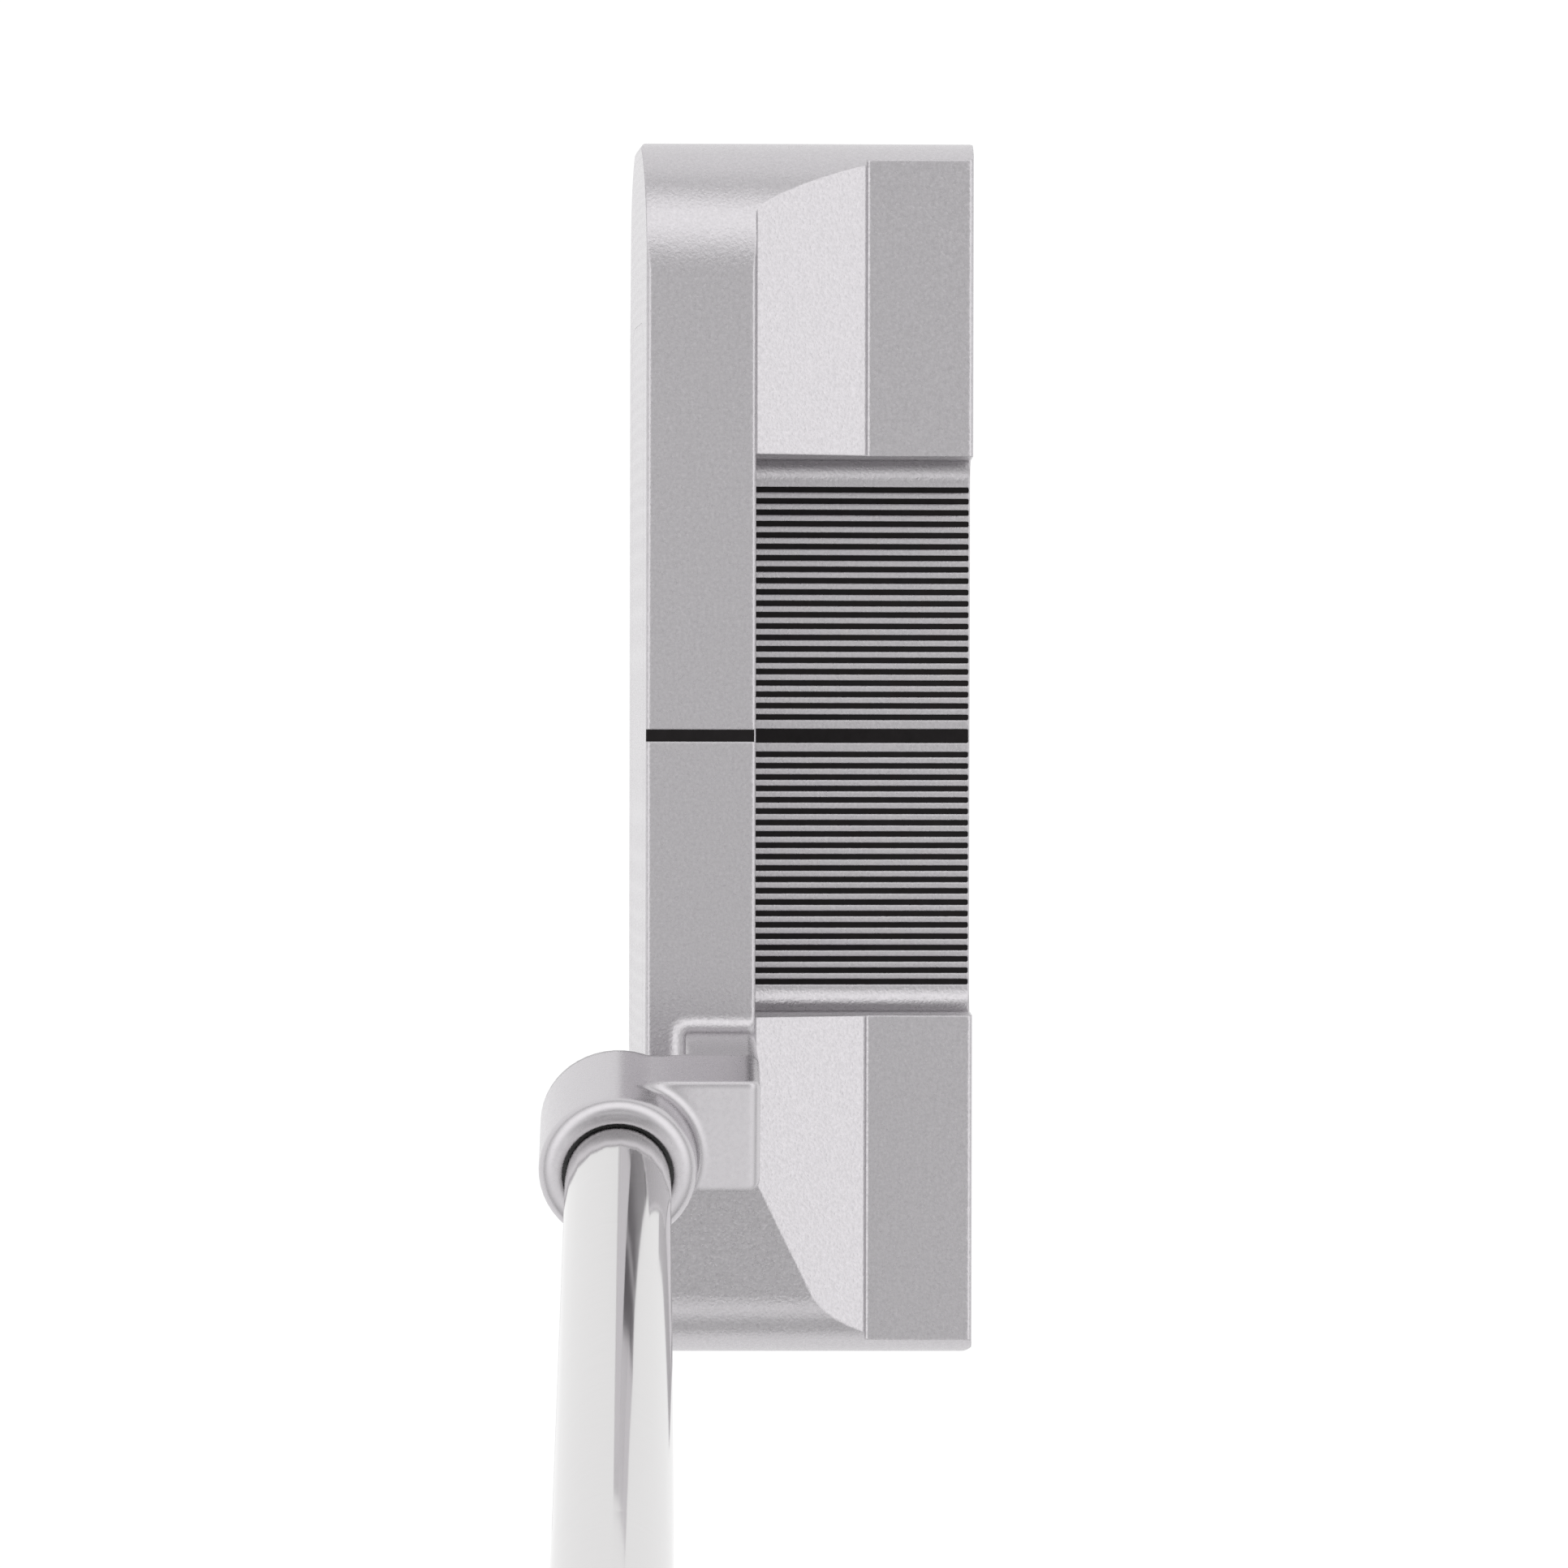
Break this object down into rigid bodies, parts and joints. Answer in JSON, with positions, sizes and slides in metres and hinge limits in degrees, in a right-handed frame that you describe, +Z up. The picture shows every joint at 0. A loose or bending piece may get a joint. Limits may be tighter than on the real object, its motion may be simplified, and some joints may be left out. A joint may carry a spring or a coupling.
{
  "type": "putter",
  "caption": "Right-handed heel-toe weighted blade putter with a plumber's neck, lined flange, chrome shaft, rubber pistol grip and screw-in sole weights.",
  "frame": {"origin": "on the flat of the sole, under the sight line", "axes": "+X to the heel, +Y away from the target (the back of the head), +Z up, with the sole flat on the ground and the shaft leaning 20 degrees towards +X"},
  "size_m": [0.3855, 0.0483, 0.8153],
  "materials": {
    "satin_steel": "fine bead-blasted satin",
    "milled_aluminium": "milled",
    "pad_elastomer": "matte",
    "weight_steel": "turned, satin",
    "washer_nylon": "matte",
    "line_paint": "black paint fill",
    "shaft_chrome": "bright chrome plating",
    "cured_epoxy": "dark, glossy",
    "tape_paper": "matte",
    "grip_rubber": "matte, textured",
    "cap_rubber": "satin"
  },
  "bodies": {
    "club": {"head_casting": "satin_steel", "face_insert": "milled_aluminium", "insert_pad": "pad_elastomer", "flange_line_paint": "line_paint", "flange_sight_line_paint": "line_paint", "topline_sight_line_paint": "line_paint", "shaft": "shaft_chrome", "shaft_epoxy": "cured_epoxy", "grip_tape": "tape_paper", "grip_sleeve": "grip_rubber", "grip_end_cap": "cap_rubber"},
    "toe_washer": {"toe_weight_washer": "washer_nylon"},
    "toe_screw": {"toe_weight": "weight_steel"},
    "heel_washer": {"heel_weight_washer": "washer_nylon"},
    "heel_screw": {"heel_weight": "weight_steel"}
  },
  "joints": [
    {"name": "toe_weight_travel", "type": "slide", "parent": "club", "child": "toe_washer", "axis": [0, 0, -1], "range_m": [0, 0.006]},
    {"name": "toe_weight_turn", "type": "hinge", "parent": "toe_washer", "child": "toe_screw", "pos_m": [-0.0405, 0.0056, 0], "axis": [0, 0, -1], "range_deg": [0, 2160]},
    {"name": "heel_weight_travel", "type": "slide", "parent": "club", "child": "heel_washer", "axis": [0, 0, -1], "range_m": [0, 0.006]},
    {"name": "heel_weight_turn", "type": "hinge", "parent": "heel_washer", "child": "heel_screw", "pos_m": [0.0415, 0.0056, 0], "axis": [0, 0, -1], "range_deg": [0, 2160]}
  ],
  "couplings": [
    {"joint": "toe_weight_turn", "follows": "toe_weight_travel", "rad_per_m": 6283.2},
    {"joint": "heel_weight_turn", "follows": "heel_weight_travel", "rad_per_m": 6283.2}
  ]
}
